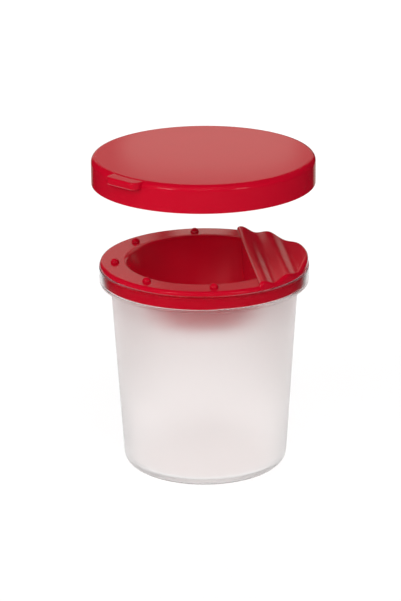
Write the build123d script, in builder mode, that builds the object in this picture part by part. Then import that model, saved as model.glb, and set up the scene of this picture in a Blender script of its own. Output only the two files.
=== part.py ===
from build123d import *

import os

# A brush washer, in millimetres: a clear cup, a funnel insert that drops into its collar, and a snap lid.
# The cup stands on the plane z = 0 with its axis on Z, and the insert's wavy brush rest lies toward +X.
# All three are thin plastic mouldings, round about Z. The insert is seated and the lid is held above it.

# Clear cup
collar_radius = 43.0  # outside of the wide collar
collar_wall = 1.4
rim_height = 85.7  # top of the collar
collar_height = 7.5  # from the rim down to the underside of the step
step_wall = 1.3
step_width = 4.5  # from the top of the body out to the collar
body_taper = 4.8  # how much narrower, in radius, the body is at the table than at its top
body_wall = 1.8
base_corner_radius = 4.5
floor_height = 2.9  # top of the floor inside the cup
foot_ring_inset = 7.8  # from where the sloping wall would meet the table to the inside of the flat ring
foot_ring_height = 0.8
centre_recess_radius = 18.7
centre_recess_depth = 0.5
gate_radius = 1.6  # the mark left where the plastic entered the mould
gate_height = 0.4
step_corner_radius = 1.2
step_root_radius = 1.8  # outside, from the body to the step
collar_root_radius = 0.6  # inside, at both ends of the step

# Funnel insert
skirt_gap = 0.3  # from the skirt to the collar around it, and to the step below it
skirt_wall = 1.4
deck_inset = 0.4  # from the outside of the collar in to the edge of the deck
deck_thickness = 1.8
deck_edge_radius = 1.2
deck_width = 10.7  # from the edge of the deck in to the round opening
opening_edge_radius = 2.5
funnel_wall = 1.4
throat_radius = 18.0
funnel_depth = 21.7  # from the cup's rim down to the bottom of the funnel
nub_radius = 1.8
nub_inset = 6.4  # from the outside of the collar in to the middle of each stud
nub_angles = (90, 135, 180, 225, 270)

# Brush rest: parallel waves across the insert, beyond a straight edge of its opening
rest_edge = 18.2  # from the axis to the straight edge
rest_edge_height = 0.9  # all wave heights are above the deck
first_crest_inset = 1.5  # from the straight edge to the first crest
last_crest_inset = 1.6  # from the outside of the deck to the last crest
crest_heights = (1.75, 1.6, 2.0)
trough_heights = (-0.05, 0.0)
rest_end_height = 1.8

# Lid
lid_wall = 1.6
lid_top_thickness = 1.5
lid_height = 11.2
lid_edge_radius = 2.4
lid_skirt_gap = 0.9  # from the collar to the inside of the lid's skirt
bead_gap = 0.15  # from the collar to the snap bead inside the lid's skirt
bead_height = 1.6
lid_seat_gap = 0.3  # from the highest crest or nub to the closed lid
lid_lift = 40.7  # how far the lid is held above its closed place
tab_angle = 221  # from +X
tab_width = 17.0
tab_reach = 3.2
tab_overlap = 3.5  # how far the tab runs in over the lid's rounded edge
tab_thickness = 3.0
tab_drop = 0.2  # from the top of the lid down to the top of the tab
tab_corner_radius = 3.2
tab_edge_radius = 0.7

os.makedirs("parts", exist_ok=True)


def round_corners(outline, corners):
    """Round each (place, radius) corner of a flat outline."""
    for place, radius in corners:
        fillet(outline.vertices().sort_by_distance(place)[0], radius)


# Clear cup
collar_bore = collar_radius - collar_wall
step_height = rim_height - collar_height
step_top = step_height + step_wall
body_top_radius = collar_radius - step_width
body_foot_radius = body_top_radius - body_taper
foot_ring_radius = body_foot_radius - foot_ring_inset
recess_height = foot_ring_height + centre_recess_depth
bore_top = (body_top_radius - body_wall, step_top)
bore_foot = (body_foot_radius - body_wall, floor_height)
body_top = (body_top_radius, step_height)
body_foot = (body_foot_radius, 0)

with BuildPart() as clear_cup:
    with BuildSketch(Plane.XZ) as cup_section:
        with BuildLine():
            Polyline(
                (0, recess_height - gate_height),
                (gate_radius, recess_height - gate_height),
                (gate_radius, recess_height),
                (centre_recess_radius, recess_height),
                (centre_recess_radius, foot_ring_height),
                (foot_ring_radius, foot_ring_height),
                (foot_ring_radius, 0),
                body_foot,
                body_top,
                (collar_radius, step_height),
                (collar_radius, rim_height),
                (collar_bore, rim_height),
                (collar_bore, step_top),
                bore_top,
                bore_foot,
                (0, floor_height),
                close=True,
            )
        make_face()
        round_corners(
            cup_section,
            [
                (body_foot, base_corner_radius),
                (bore_foot, base_corner_radius - body_wall),
                (body_top, step_root_radius),
                ((collar_radius, step_height), step_corner_radius),
                ((collar_bore, step_top), collar_root_radius),
                (bore_top, collar_root_radius),
                ((collar_radius, rim_height), collar_wall / 4),
                ((collar_bore, rim_height), collar_wall / 4),
            ],
        )
    revolve(axis=Axis.Z)

# Funnel insert
deck_height = rim_height + deck_thickness
skirt_radius = collar_bore - skirt_gap
skirt_bore = skirt_radius - skirt_wall
skirt_foot = step_top + skirt_gap
deck_radius = collar_radius - deck_inset
deck_edge = (deck_radius, deck_height)
opening_radius = deck_radius - deck_width
opening_edge = (opening_radius, deck_height)
throat_height = rim_height - funnel_depth
funnel_slope = (opening_radius - throat_radius) / (deck_height - throat_height)
funnel_outside = opening_radius + funnel_wall - deck_thickness * funnel_slope  # where it meets the deck

# Deck, skirt and funnel, cut off at the straight edge of the opening
with BuildPart() as open_side:
    with BuildSketch(Plane.XZ) as insert_section:
        with BuildLine():
            Polyline(
                (skirt_radius, skirt_foot),
                (skirt_radius, rim_height),
                (deck_radius, rim_height),
                deck_edge,
                opening_edge,
                (throat_radius, throat_height),
                (throat_radius + funnel_wall, throat_height),
                (funnel_outside, rim_height),
                (skirt_bore, rim_height),
                (skirt_bore, skirt_foot),
                close=True,
            )
        make_face()
        round_corners(insert_section, [(deck_edge, deck_edge_radius), (opening_edge, opening_edge_radius)])
    revolve(axis=Axis.Z)
    split(bisect_by=Plane.YZ.offset(rest_edge), keep=Keep.BOTTOM)

# Flat side of the funnel, below the brush rest
with BuildPart() as funnel_flat:
    with BuildSketch(Plane.XZ):
        with BuildLine():
            Polyline(
                (0, throat_height),
                (throat_radius + funnel_wall, throat_height),
                (funnel_outside, rim_height),
                (0, rim_height),
                close=True,
            )
        make_face()
    revolve(axis=Axis.Z)
    split(bisect_by=Plane.YZ.offset(rest_edge), keep=Keep.TOP)
    split(bisect_by=Plane.YZ.offset(rest_edge + funnel_wall), keep=Keep.BOTTOM)

# Crests and troughs as (distance from the axis, height), in turn
first_crest = rest_edge + first_crest_inset
crest_pitch = (deck_radius - last_crest_inset - first_crest) / (len(crest_heights) - 1)
wave_turns = []
for number, height in enumerate(crest_heights):
    wave_turns.append((first_crest + number * crest_pitch, deck_height + height))
for number, height in enumerate(trough_heights):
    wave_turns.append((first_crest + (number + 0.5) * crest_pitch, deck_height + height))
wave_turns.sort()

wave_start = (rest_edge, deck_height + rest_edge_height)
wave_end = (deck_radius, deck_height + rest_end_height)
wave_tangents = [(1, 1.5)] + [(1, 0)] * len(wave_turns) + [(1, -0.6)]

with BuildSketch(Plane.XZ) as wave_outline:
    with BuildLine():
        Spline([wave_start] + wave_turns + [wave_end], tangents=wave_tangents)
        Polyline(wave_end, (deck_radius, skirt_foot), (rest_edge, skirt_foot), wave_start)
    make_face()

# The hollow under the waves, as if the deck had no thickness
with BuildPart() as wave_core:
    with BuildSketch(Plane.XY.offset(skirt_foot)):
        Circle(skirt_bore)
        split(bisect_by=Plane.YZ.offset(rest_edge + funnel_wall), keep=Keep.TOP)
    extrude(amount=lid_height)
    extrude(wave_outline.sketch, amount=collar_radius, both=True, mode=Mode.INTERSECT)

with BuildPart() as brush_rest:
    with BuildSketch(Plane.XY.offset(rim_height)):
        Circle(deck_radius)
    extrude(amount=lid_height)
    extrude(wave_outline.sketch, amount=collar_radius, both=True, mode=Mode.INTERSECT)
    wave_face = brush_rest.faces().sort_by(Axis.Z)[-1]
    fillet(wave_face.edges().filter_by(GeomType.LINE, reverse=True), deck_edge_radius)
    with BuildSketch(Plane.XY.offset(skirt_foot)):
        Circle(skirt_radius)
        split(bisect_by=Plane.YZ.offset(rest_edge), keep=Keep.TOP)
    extrude(amount=rim_height - skirt_foot)
    add(Pos(0, 0, -deck_thickness) * wave_core.part, mode=Mode.SUBTRACT)

nub_circle_radius = collar_radius - nub_inset

with BuildPart() as funnel_insert:
    add(open_side.part)
    add(funnel_flat.part)
    add(brush_rest.part)
    for angle in nub_angles:
        with Locations(Plane.XY.offset(deck_height).location * Rot(0, 0, angle) * Pos(nub_circle_radius, 0, 0)):
            Sphere(nub_radius, arc_size1=0, align=(Align.CENTER, Align.CENTER, Align.MIN))

# Lid
lid_radius = collar_radius + lid_skirt_gap + lid_wall
lid_bore = collar_radius + lid_skirt_gap
bead_reach = lid_skirt_gap - bead_gap
lid_ceiling = deck_height + max(nub_radius, *crest_heights) + lid_seat_gap + lid_lift
lid_top = lid_ceiling + lid_top_thickness
lid_foot = lid_top - lid_height

with BuildPart() as lid_tab:
    with BuildSketch(Plane.XY.offset(lid_top - tab_drop - tab_thickness)):
        with Locations(Rot(0, 0, tab_angle) * Pos(lid_radius - tab_overlap, 0, 0)):
            RectangleRounded(2 * (tab_reach + tab_overlap), tab_width, tab_corner_radius)
    extrude(amount=tab_thickness)
    tab_edges = lid_tab.edges().group_by(Axis.Z)
    fillet(tab_edges[0] + tab_edges[-1], tab_edge_radius)

with BuildPart() as lid:
    with BuildSketch(Plane.XY.offset(lid_foot)):
        Circle(lid_radius)
    extrude(amount=lid_height)
    fillet(lid.edges().sort_by(Axis.Z)[-1], lid_edge_radius)
    add(lid_tab.part)
    with BuildSketch(Plane.XZ) as lid_core_section:
        with BuildLine():
            Polyline(
                (0, lid_foot),
                (lid_bore, lid_foot),
                (lid_bore - bead_reach, lid_foot + bead_height / 2),
                (lid_bore, lid_foot + bead_height),
                (lid_bore, lid_ceiling),
                (0, lid_ceiling),
                close=True,
            )
        make_face()
        round_corners(lid_core_section, [((lid_bore, lid_ceiling), lid_edge_radius - lid_wall)])
    revolve(axis=Axis.Z, mode=Mode.SUBTRACT)

clear_cup.part.label = "clear_cup"
funnel_insert.part.label = "funnel_insert"
lid.part.label = "lid"
for piece in (clear_cup, funnel_insert, lid):
    export_step(piece.part, f"parts/{piece.part.label}.step")
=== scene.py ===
"""A brush washer: a clear cup, a red funnel insert with a brush rest, and a red lid held above them.

Metres throughout. The cup stands on the floor at z = 0, its axis on Z, with the brush rest towards +X.
"""

import math

import bpy
from mathutils import Matrix, Quaternion, Vector

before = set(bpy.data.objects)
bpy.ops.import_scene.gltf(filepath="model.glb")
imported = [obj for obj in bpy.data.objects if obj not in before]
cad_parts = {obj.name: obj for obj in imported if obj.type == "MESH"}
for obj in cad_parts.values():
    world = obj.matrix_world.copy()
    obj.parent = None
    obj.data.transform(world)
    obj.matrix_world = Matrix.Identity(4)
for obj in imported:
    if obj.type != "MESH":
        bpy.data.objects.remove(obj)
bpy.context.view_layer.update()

# The camera and the studio are set out in a frame that is turned about Z from the object's own
STUDIO_TURN = Matrix.Rotation(math.radians(-6), 4, "Z")

# Camera: where the photograph was taken from
CAMERA_PLACE = Vector((-0.00157, -1.037, 0.4285))
CAMERA_TARGET = Vector((-0.00157, 0, 0.0694))
CAMERA_ROLL = -0.0079  # radians
CAMERA_LENS = 159.52  # mm, on the sensor below
CAMERA_SENSOR = 36.0  # mm

# Backdrop
BACKDROP_LIGHT = 0.32  # the light it gives to the object and the floor
BACKDROP_SEEN = 1.0  # how bright it is to the eye, also through clear plastic
BACKDROP_MIRRORED = 0.01  # how bright it is in gloss, where no card or lamp stands

# Floor
FLOOR_SIZE = 6.0
FLOOR_PAPER = (0.8, 0.8, 0.8)
FLOOR_GLOW = 1.08  # how bright the floor is to the eye, apart from its lit share
FLOOR_LIT_SHARE = (0.3, 0.0)  # how much of the lit paper and its shadows is seen, near the object and far off
FLOOR_LIT_FADE = (0.35, 0.90)  # the distances from the object between which that changes
MIRRORED_OVAL_CENTRE = (0.0, 0.12, 0.0)  # gloss mirrors the floor as white in this oval only
MIRRORED_OVAL_HALF = (0.185, 0.20, 1.0)  # its half axes
MIRRORED_OVAL_FADE = (0.85, 1.1)  # its soft edge, as shares of the half axes

# Softboxes: place, side, brightness, whether gloss mirrors them
SOFTBOXES = {
    "key": ((-0.6, -0.9, 1.1), 0.8, 2.3, False),
    "front": ((0.0, -1.0, 0.70), 0.5, 4.2, False),
    "high_front": ((0.3, -0.75, 1.30), 0.5, 5.6, False),
    "left": ((-0.75, -0.7, 0.65), 0.5, 2.0, False),
    "left_side": ((-1.0, -0.1, 0.2), 0.5, 2.2, False),
    "back": ((0.0, 1.0, 0.45), 0.9, 4.5, False),
    "mirrored_left": ((-0.65, -0.85, 0.45), 0.25, 3.0, True),
    "mirrored_right": ((0.65, -0.85, 0.45), 0.25, 2.5, True),
}

# Upright cards that only gloss mirrors, named for what mirrors them:
# lowest corner, highest corner, brightness, softness of the edges, squareness
CARDS = {
    "lid_sheen": ((-0.042, 0.100, 0.142), (0.048, 0.100, 0.173), 0.28, 0.25, 2.5),
    "lid_surround": ((-0.090, 0.105, 0.130), (0.090, 0.105, 0.190), 0.30, 0.10, 6.0),
    "deck_left": ((-0.090, 0.100, 0.080), (-0.014, 0.100, 0.137), 0.42, 0.35, 6.0),
    "deck_back": ((-0.019, 0.100, 0.1016), (0.017, 0.100, 0.1114), 0.90, 0.50, 4.0),
    "rest_right": ((0.038, 0.100, 0.070), (0.100, 0.100, 0.112), 0.48, 0.50, 3.0),
}
CARD_COLOUR = (1.0, 0.98, 0.85)

# Moulded plastic's surface: the scale and detail of each noise, and how deep its bumps are
MOULDED_NOISES = {"wave": (60.0, 2.0), "grain": (2500.0, 2.0), "smudge": (90.0, 6.0)}
BUMP_STRENGTH = 0.1
BUMP_DISTANCE = 0.0005

# Red plastic, of the insert and the lid: glossy, but satin inside the funnel
RED = (0.497, 0.0006, 0.0152)
RED_SHADES = (0.97, 1.03)  # its darkest and lightest, as shares of the red
RED_IOR = 1.5
RED_SURFACE = {"Waviness": 0.8, "Grain": 0.02, "Smudge": 0.06}
RED_ROUGHNESS = 0.16
FUNNEL_ROUGHNESS = 0.25
FUNNEL_RADIUS = 0.0322  # what is within this and below the next is inside the funnel
FUNNEL_TOP = 0.0868

# Clear plastic, of the cup, told apart by height
FOOT_HEIGHT = 0.0045  # the thick foot and floor are below this, the body above
STEP_HEIGHT = 0.0796  # the collar is above this
LIP_HEIGHT = 0.0849  # the collar's rounded lip is above this
MID_WALL_AT_TABLE = 0.0328  # radius of the middle of the body's wall
MID_WALL_AT_STEP = 0.0376
CLEAR_IOR = 1.49
CLEAR_SURFACE = {"Waviness": 0.1, "Grain": 0.01, "Smudge": 0.04}
FOOT_CLEAR = (0.870, 0.848, 0.843)
BODY_CLEAR = (0.970, 0.945, 0.940)
COLLAR_CLEAR = (0.985, 0.956, 0.950)
# The lip's colour is painted red light: the insert's red, as it would shine into the clear lip, which is
# itself clear
LIP_PAINTED_INSERT_RED = (1.0, 0.36, 0.42)  # full of the insert's red

# How rough the cup is. The body's inner face gets rougher with height, towards the funnel
COLLAR_ROUGHNESS = 0.08
OUTSIDE_ROUGHNESS = 0.30  # also the lip's
INSIDE_ROUGHNESS = (0.12, 0.60)
INSIDE_ROUGHNESS_ZONE = (0.020, 0.066)  # the heights between which it grows

# The body's haze: how much of the light each of its faces scatters, half of it back and half of it on
HAZE_COLOUR = (0.87, 0.85, 0.845)
HAZE_SHARES = (0.03, 0.10)
HAZE_ZONE = (0.0, 0.045)  # the heights between which the share grows


def add_node(tree, kind, **settings):
    """Add a node and set its properties and, by name, its inputs."""
    node = tree.nodes.new(kind)
    for name, value in settings.items():
        if hasattr(node, name):
            setattr(node, name, value)
        else:
            node.inputs[name].default_value = value
    return node


def add_math(tree, operation, first, second):
    """A Math node of two inputs, each a socket or a number."""
    node = add_node(tree, "ShaderNodeMath", operation=operation)
    for socket, value in zip(node.inputs, (first, second)):
        if isinstance(value, (int, float)):
            socket.default_value = value
        else:
            tree.links.new(value, socket)
    return node.outputs[0]


def mix_colours(tree, factor, first, second):
    """The mix of two colours, each a socket or three numbers."""
    node = add_node(tree, "ShaderNodeMix", data_type="RGBA")
    tree.links.new(factor, node.inputs[0])
    for socket, value in zip(node.inputs[6:8], (first, second)):
        if isinstance(value, tuple):
            socket.default_value = (*value, 1)
        else:
            tree.links.new(value, socket)
    return node.outputs[2]


def mix_shaders(tree, factor, first, second):
    """The mix of two shaders' outputs, by a socket or a number."""
    node = tree.nodes.new("ShaderNodeMixShader")
    if isinstance(factor, float):
        node.inputs[0].default_value = factor
    else:
        tree.links.new(factor, node.inputs[0])
    tree.links.new(first, node.inputs[1])
    tree.links.new(second, node.inputs[2])
    return node.outputs[0]


def ramp(tree, value, between, levels):
    """A smooth change from one level to another between two values of a socket."""
    node = add_node(tree, "ShaderNodeMapRange", interpolation_type="SMOOTHSTEP")
    for name, number in zip(("From Min", "From Max", "To Min", "To Max"), (*between, *levels)):
        node.inputs[name].default_value = number
    tree.links.new(value, node.inputs["Value"])
    return node.outputs[0]


def object_place(tree):
    """A surface point's X, Y and Z, from object coordinates."""
    split = tree.nodes.new("ShaderNodeSeparateXYZ")
    tree.links.new(tree.nodes.new("ShaderNodeTexCoord").outputs["Object"], split.inputs[0])
    return split.outputs


def length_of(tree, vector):
    """The length of a vector."""
    node = add_node(tree, "ShaderNodeVectorMath", operation="LENGTH")
    tree.links.new(vector, node.inputs[0])
    return node.outputs["Value"]


def within(tree, place, radius, widening, top):
    """1 below top and inside a cone about Z, else 0. Its radius is taken at z = 0 and widens upwards."""
    squares = [add_math(tree, "POWER", place[side], 2) for side in ("X", "Y")]
    from_axis = add_math(tree, "SQRT", add_math(tree, "ADD", *squares), 0)
    edge = add_math(tree, "ADD", add_math(tree, "MULTIPLY", place["Z"], widening), radius)
    inside = add_math(tree, "LESS_THAN", from_axis, edge)
    return add_math(tree, "MULTIPLY", inside, add_math(tree, "LESS_THAN", place["Z"], top))


def new_material(name):
    """A material with nothing but an output node, its node tree, and that node's surface socket."""
    material = bpy.data.materials.new(name)
    material.use_nodes = True
    material.node_tree.nodes.clear()
    output = material.node_tree.nodes.new("ShaderNodeOutputMaterial")
    return material, material.node_tree, output.inputs["Surface"]


def build_moulded_surface():
    """Moulded plastic's slow waviness, fine grain and faint handling marks, from object coordinates."""
    group = bpy.data.node_groups.new("moulded surface", "ShaderNodeTree")
    sockets = {
        "INPUT": ("Waviness", "Grain", "Roughness", "Smudge"),
        "OUTPUT": ("Roughness", "Shade", "Height"),
    }
    for direction, names in sockets.items():
        for name in names:
            group.interface.new_socket(name, in_out=direction, socket_type="NodeSocketFloat")
    taken = group.nodes.new("NodeGroupInput").outputs
    given = group.nodes.new("NodeGroupOutput").inputs
    place = group.nodes.new("ShaderNodeTexCoord").outputs["Object"]
    noises = {}
    for name, (scale, detail) in MOULDED_NOISES.items():
        noise = add_node(group, "ShaderNodeTexNoise", Scale=scale, Detail=detail)
        group.links.new(place, noise.inputs["Vector"])
        noises[name] = noise.outputs[0]

    wave = add_math(group, "MULTIPLY", noises["wave"], taken["Waviness"])
    grain = add_math(group, "MULTIPLY", noises["grain"], taken["Grain"])
    centred = add_math(group, "SUBTRACT", noises["smudge"], 0.5)
    smudge = add_math(group, "MULTIPLY", centred, taken["Smudge"])
    group.links.new(add_math(group, "ADD", wave, grain), given["Height"])
    group.links.new(add_math(group, "ADD", smudge, taken["Roughness"]), given["Roughness"])
    group.links.new(noises["smudge"], given["Shade"])
    return group


moulded_surface = build_moulded_surface()


def mould(tree, shader, values, roughness):
    """Give a shader the moulded surface's bumps and roughness, and return its uneven shade."""
    surface = tree.nodes.new("ShaderNodeGroup")
    surface.node_tree = moulded_surface
    for name, value in values.items():
        surface.inputs[name].default_value = value
    tree.links.new(roughness, surface.inputs["Roughness"])
    bump = add_node(tree, "ShaderNodeBump", Strength=BUMP_STRENGTH, Distance=BUMP_DISTANCE)
    tree.links.new(surface.outputs["Height"], bump.inputs["Height"])
    tree.links.new(bump.outputs["Normal"], shader.inputs["Normal"])
    tree.links.new(surface.outputs["Roughness"], shader.inputs["Roughness"])
    return surface.outputs["Shade"]


def red_plastic():
    """Glossy red plastic, satin inside the funnel, with a barely uneven colour."""
    material, tree, output = new_material("red_plastic")
    shader = add_node(tree, "ShaderNodeBsdfPrincipled", IOR=RED_IOR)
    funnel = within(tree, object_place(tree), FUNNEL_RADIUS, 0, FUNNEL_TOP)
    funnel_change = add_math(tree, "MULTIPLY", funnel, FUNNEL_ROUGHNESS - RED_ROUGHNESS)
    shade = mould(tree, shader, RED_SURFACE, add_math(tree, "ADD", funnel_change, RED_ROUGHNESS))
    darker, lighter = (tuple(part * share for part in RED) for share in RED_SHADES)
    tree.links.new(mix_colours(tree, shade, darker, lighter), shader.inputs["Base Color"])
    tree.links.new(shader.outputs[0], output)
    return material


def clear_plastic():
    """Clear plastic, smooth at the collar and hazy in the body, with painted red light at its lip. Shadow and
    diffuse rays pass through it.
    """
    material, tree, output = new_material("clear_plastic")
    shader = add_node(tree, "ShaderNodeBsdfPrincipled", **{"IOR": CLEAR_IOR, "Transmission Weight": 1.0})
    place = object_place(tree)
    collar = add_math(tree, "GREATER_THAN", place["Z"], STEP_HEIGHT)
    below_lip = add_math(tree, "LESS_THAN", place["Z"], LIP_HEIGHT)
    foot = add_math(tree, "LESS_THAN", place["Z"], FOOT_HEIGHT)
    below_step = mix_colours(tree, foot, BODY_CLEAR, FOOT_CLEAR)
    # Above the lip height the colour is painted red light from the insert, in place of the collar's clear
    # tint
    above_step = mix_colours(tree, below_lip, LIP_PAINTED_INSERT_RED, COLLAR_CLEAR)
    tree.links.new(mix_colours(tree, collar, below_step, above_step), shader.inputs["Base Color"])

    widening = (MID_WALL_AT_STEP - MID_WALL_AT_TABLE) / STEP_HEIGHT
    inside = within(tree, place, MID_WALL_AT_TABLE, widening, STEP_HEIGHT)
    rising = ramp(tree, place["Z"], INSIDE_ROUGHNESS_ZONE, INSIDE_ROUGHNESS)
    inside_change = add_math(tree, "MULTIPLY", inside, add_math(tree, "SUBTRACT", rising, OUTSIDE_ROUGHNESS))
    smooth_band = add_math(tree, "MULTIPLY", collar, below_lip)
    collar_change = add_math(tree, "MULTIPLY", smooth_band, COLLAR_ROUGHNESS - OUTSIDE_ROUGHNESS)
    body_roughness = add_math(tree, "ADD", inside_change, OUTSIDE_ROUGHNESS)
    mould(tree, shader, CLEAR_SURFACE, add_math(tree, "ADD", body_roughness, collar_change))

    back = add_node(tree, "ShaderNodeBsdfDiffuse", Color=(*HAZE_COLOUR, 1))
    onward = add_node(tree, "ShaderNodeBsdfTranslucent", Color=(*HAZE_COLOUR, 1))
    haze = mix_shaders(tree, 0.5, back.outputs[0], onward.outputs[0])
    below_collar = add_math(tree, "SUBTRACT", 1, collar)
    haze_share = add_math(tree, "MULTIPLY", below_collar, ramp(tree, place["Z"], HAZE_ZONE, HAZE_SHARES))
    hazy = mix_shaders(tree, haze_share, shader.outputs[0], haze)

    path = tree.nodes.new("ShaderNodeLightPath").outputs
    lets_through = add_math(tree, "MAXIMUM", path["Is Shadow Ray"], path["Is Diffuse Ray"])
    window = add_node(tree, "ShaderNodeBsdfTransparent", Color=(*COLLAR_CLEAR, 1))
    tree.links.new(mix_shaders(tree, lets_through, hazy, window.outputs[0]), output)
    return material


def dress(node, material):
    """Give a CAD node its one material."""
    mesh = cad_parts[node].data
    mesh.materials.clear()
    mesh.materials.append(material)


def by_ray(tree, lit, seen, mirrored, mirrored_through):
    """What a ray meets: what is seen, straight or through clear plastic, what gloss mirrors, or what lights.

    A ray that was mirrored and then went on through clear plastic has its own.
    """
    path = tree.nodes.new("ShaderNodeLightPath").outputs
    through = path["Is Transmission Ray"]
    straight_or_through = add_math(tree, "MAXIMUM", path["Is Camera Ray"], through)
    was_mirrored = add_math(tree, "GREATER_THAN", path["Glossy Depth"], 0.5)
    mirrored_first = add_math(tree, "MULTIPLY", through, was_mirrored)
    met = mix_shaders(tree, path["Is Glossy Ray"], lit, mirrored)
    met = mix_shaders(tree, straight_or_through, met, seen)
    return mix_shaders(tree, mirrored_first, met, mirrored_through)


def build_backdrop():
    """A white backdrop all round, which gives an even light. Gloss mirrors it as dark."""
    world = bpy.data.worlds.new("studio")
    world.use_nodes = True
    world.cycles.sampling_method = "NONE"
    bpy.context.scene.world = world
    tree = world.node_tree
    tree.nodes.clear()
    output = tree.nodes.new("ShaderNodeOutputWorld")
    levels = []
    for level in (BACKDROP_LIGHT, BACKDROP_SEEN, BACKDROP_MIRRORED):
        backdrop = add_node(tree, "ShaderNodeBackground", Color=(1, 1, 1, 1), Strength=level)
        levels.append(backdrop.outputs[0])
    lit, seen, mirrored = levels
    tree.links.new(by_ray(tree, lit, seen, mirrored, seen), output.inputs["Surface"])


def build_floor():
    """A plain white floor that keeps a share of its shadows where it is seen."""
    bpy.ops.mesh.primitive_plane_add(size=FLOOR_SIZE)
    floor = bpy.context.object
    floor.name = "floor"
    material, tree, output = new_material("floor")
    material.cycles.emission_sampling = "NONE"
    place = tree.nodes.new("ShaderNodeTexCoord").outputs["Object"]

    paper = add_node(tree, "ShaderNodeBsdfDiffuse", Color=(*FLOOR_PAPER, 1)).outputs[0]
    white = add_node(tree, "ShaderNodeEmission", Strength=FLOOR_GLOW).outputs[0]
    lit_share = ramp(tree, length_of(tree, place), FLOOR_LIT_FADE, FLOOR_LIT_SHARE)
    seen = mix_shaders(tree, lit_share, white, paper)

    oval = add_node(tree, "ShaderNodeMapping", vector_type="TEXTURE", Scale=MIRRORED_OVAL_HALF)
    oval.inputs["Location"].default_value = STUDIO_TURN @ Vector(MIRRORED_OVAL_CENTRE)
    oval.inputs["Rotation"].default_value = STUDIO_TURN.to_euler()
    tree.links.new(place, oval.inputs["Vector"])
    white_to_dark = (1.0, BACKDROP_MIRRORED)
    level = ramp(tree, length_of(tree, oval.outputs[0]), MIRRORED_OVAL_FADE, white_to_dark)
    white_oval = tree.nodes.new("ShaderNodeEmission")
    tree.links.new(level, white_oval.inputs["Strength"])
    mirrored = white_oval.outputs[0]
    tree.links.new(by_ray(tree, paper, seen, mirrored, mirrored), output)
    floor.data.materials.append(material)


def build_card(name, low, high, brightness, softness, squareness):
    """An upright card with soft edges that only gloss mirrors."""
    corners = [low, (high[0], low[1], low[2]), high, (low[0], low[1], high[2])]
    mesh = bpy.data.meshes.new(name)
    mesh.from_pydata([STUDIO_TURN @ Vector(corner) for corner in corners], [], [(0, 1, 2, 3)])
    sides = mesh.uv_layers.new(name="sides")
    for corner, place in zip(sides.data, ((-1, -1), (1, -1), (1, 1), (-1, 1))):
        corner.uv = place
    card = bpy.data.objects.new(name, mesh)
    bpy.context.scene.collection.objects.link(card)
    card.visible_camera = card.visible_diffuse = card.visible_transmission = card.visible_shadow = False

    # The edges fade by the distance from the middle, in a shape between an ellipse and a rectangle
    material, tree, output = new_material(name)
    split = tree.nodes.new("ShaderNodeSeparateXYZ")
    tree.links.new(add_node(tree, "ShaderNodeUVMap", uv_map="sides").outputs[0], split.inputs[0])
    powers = []
    for side in ("X", "Y"):
        off_middle = add_math(tree, "ABSOLUTE", split.outputs[side], 0)
        powers.append(add_math(tree, "POWER", off_middle, squareness))
    from_middle = add_math(tree, "POWER", add_math(tree, "ADD", *powers), 1 / squareness)
    glow = add_node(tree, "ShaderNodeEmission", Color=(*CARD_COLOUR, 1))
    glow_level = ramp(tree, from_middle, (1 - softness, 1.0), (brightness, 0.0))
    tree.links.new(glow_level, glow.inputs["Strength"])
    both = tree.nodes.new("ShaderNodeAddShader")
    tree.links.new(glow.outputs[0], both.inputs[0])
    tree.links.new(tree.nodes.new("ShaderNodeBsdfTransparent").outputs[0], both.inputs[1])
    tree.links.new(both.outputs[0], output)
    mesh.materials.append(material)


def build_softbox(name, place, side, brightness, mirrored):
    """A square softbox that faces the object, as bright whatever its size."""
    lamp = bpy.data.lights.new(name, "AREA")
    lamp.size = side
    lamp.energy = brightness * math.pi * side**2
    holder = bpy.data.objects.new(name, lamp)
    holder.location = STUDIO_TURN @ Vector(place)
    holder.rotation_euler = (-holder.location).to_track_quat("-Z", "Y").to_euler()
    holder.visible_camera = holder.visible_transmission = False
    holder.visible_glossy = mirrored
    bpy.context.scene.collection.objects.link(holder)


def build_camera():
    """The photograph's camera, with its slight roll."""
    camera = bpy.data.cameras.new("camera")
    camera.lens = CAMERA_LENS
    camera.sensor_width = CAMERA_SENSOR
    holder = bpy.data.objects.new("camera", camera)
    holder.location = STUDIO_TURN @ CAMERA_PLACE
    holder.rotation_mode = "QUATERNION"
    aim = (STUDIO_TURN @ CAMERA_TARGET - holder.location).to_track_quat("-Z", "Y")
    holder.rotation_quaternion = aim @ Quaternion((0, 0, 1), CAMERA_ROLL)
    bpy.context.scene.collection.objects.link(holder)
    bpy.context.scene.camera = holder


build_camera()
build_backdrop()
build_floor()
for name, box in SOFTBOXES.items():
    build_softbox(name, *box)
for name, card in CARDS.items():
    build_card(name, *card)

red = red_plastic()
dress("funnel_insert", red)
dress("lid", red)
dress("clear_cup", clear_plastic())

bpy.context.scene.view_settings.view_transform = "Standard"
